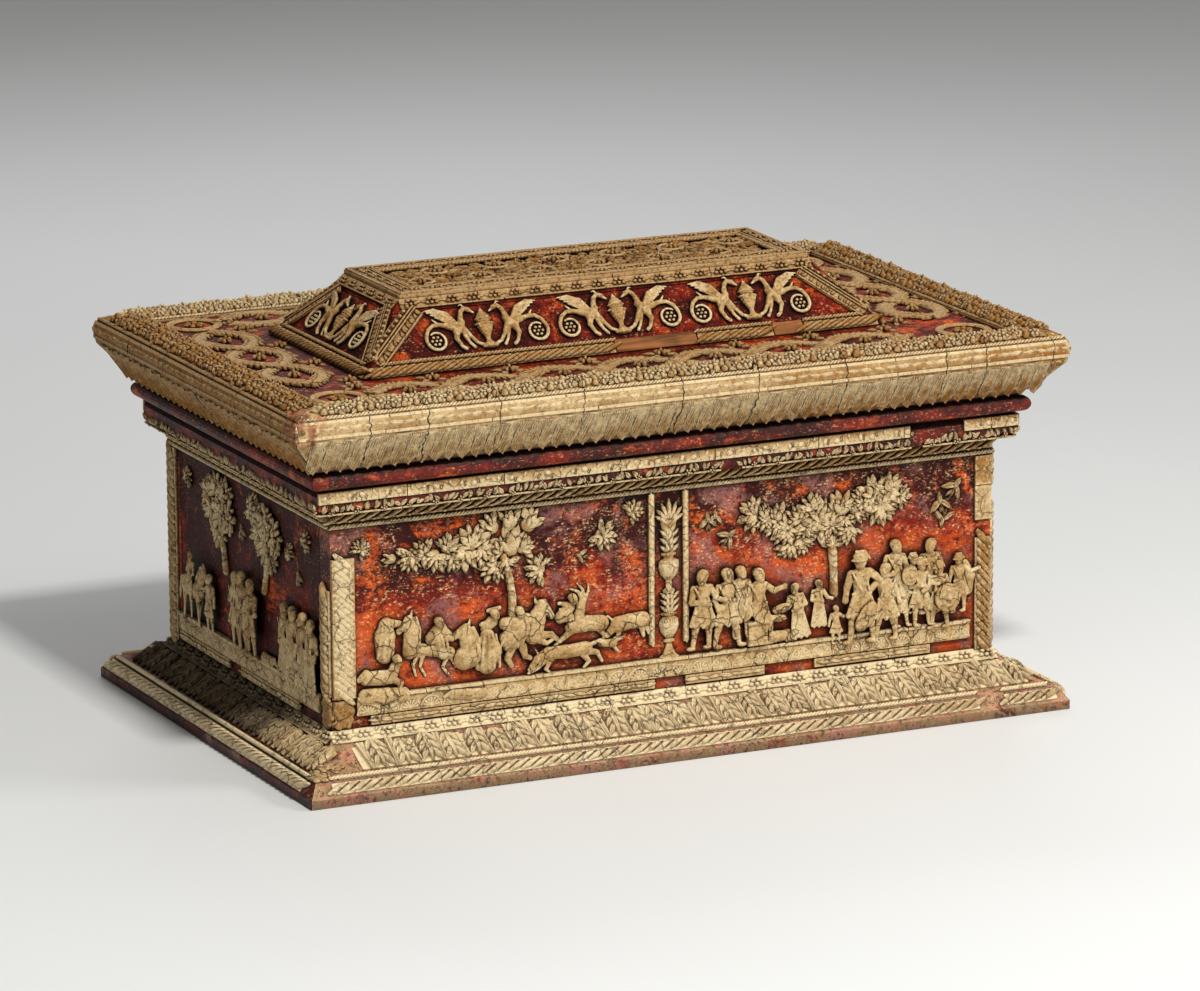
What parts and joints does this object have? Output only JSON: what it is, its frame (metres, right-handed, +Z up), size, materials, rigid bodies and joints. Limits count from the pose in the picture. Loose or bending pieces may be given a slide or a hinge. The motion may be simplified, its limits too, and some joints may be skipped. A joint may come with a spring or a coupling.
{
  "type": "casket",
  "caption": "Small wooden chest with a hinged stepped lid, painted red and covered with moulded paste relief; opens at the top to hold small things.",
  "frame": {"origin": "on the floor under the middle of the casket", "axes": "+X to the right along the long side, -Y the front, +Z up"},
  "size_m": [0.3342, 0.2224, 0.1782],
  "materials": {
    "painted_wood": "worn red paint over wood, patchy orange and maroon",
    "bare_wood": "bare aged wood",
    "moulded_paste": "matt buff paste with brown patina",
    "forged_iron": "dark forged iron"
  },
  "bodies": {
    "case": {"bottom_board": "bare_wood", "wall_front": "painted_wood", "wall_back": "painted_wood", "wall_left": "painted_wood", "wall_right": "painted_wood", "plinth_front": "painted_wood", "plinth_back": "painted_wood", "plinth_left": "painted_wood", "plinth_right": "painted_wood", "cornice_front": "painted_wood", "cornice_back": "painted_wood", "cornice_left": "painted_wood", "cornice_right": "painted_wood", "wall_rope_front": "moulded_paste", "wall_rope_back": "moulded_paste", "wall_rope_left": "moulded_paste", "wall_rope_right": "moulded_paste", "wall_frieze_front": "moulded_paste", "wall_frieze_back": "moulded_paste", "wall_frieze_left": "moulded_paste", "wall_frieze_right": "moulded_paste", "corner_strip_front_left": "moulded_paste", "corner_strip_front_right": "moulded_paste", "corner_strip_back_left": "moulded_paste", "corner_strip_back_right": "moulded_paste", "corner_strip_left_front": "moulded_paste", "corner_strip_left_back": "moulded_paste", "corner_strip_right_front": "moulded_paste", "corner_strip_right_back": "moulded_paste", "candelabrum": "moulded_paste", "candelabrum_fillet_left": "moulded_paste", "candelabrum_fillet_right": "moulded_paste", "hinge_1_case_leaf": "forged_iron", "hinge_1_pin": "forged_iron", "hinge_1_case_nail_a": "forged_iron", "hinge_1_case_nail_b": "forged_iron", "hinge_2_case_leaf": "forged_iron", "hinge_2_pin": "forged_iron", "hinge_2_case_nail_a": "forged_iron", "hinge_2_case_nail_b": "forged_iron"},
    "lid": {"lid_rim_front": "painted_wood", "lid_rim_back": "painted_wood", "lid_rim_left": "painted_wood", "lid_rim_right": "painted_wood", "lid_panel_front": "painted_wood", "lid_panel_back": "painted_wood", "lid_panel_left": "painted_wood", "lid_panel_right": "painted_wood", "lid_slope_front": "painted_wood", "lid_slope_back": "painted_wood", "lid_slope_left": "painted_wood", "lid_slope_right": "painted_wood", "lid_top_board": "painted_wood", "hinge_1_lid_leaf": "forged_iron", "hinge_1_lid_nail_a": "forged_iron", "hinge_1_lid_nail_b": "forged_iron", "hinge_2_lid_leaf": "forged_iron", "hinge_2_lid_nail_a": "forged_iron", "hinge_2_lid_nail_b": "forged_iron"}
  },
  "joints": [
    {"name": "lid_hinge", "type": "hinge", "parent": "case", "child": "lid", "pos_m": [0, 0.0972, 0.12665], "axis": [-1, 0, 0], "range_deg": [0, 100]}
  ]
}
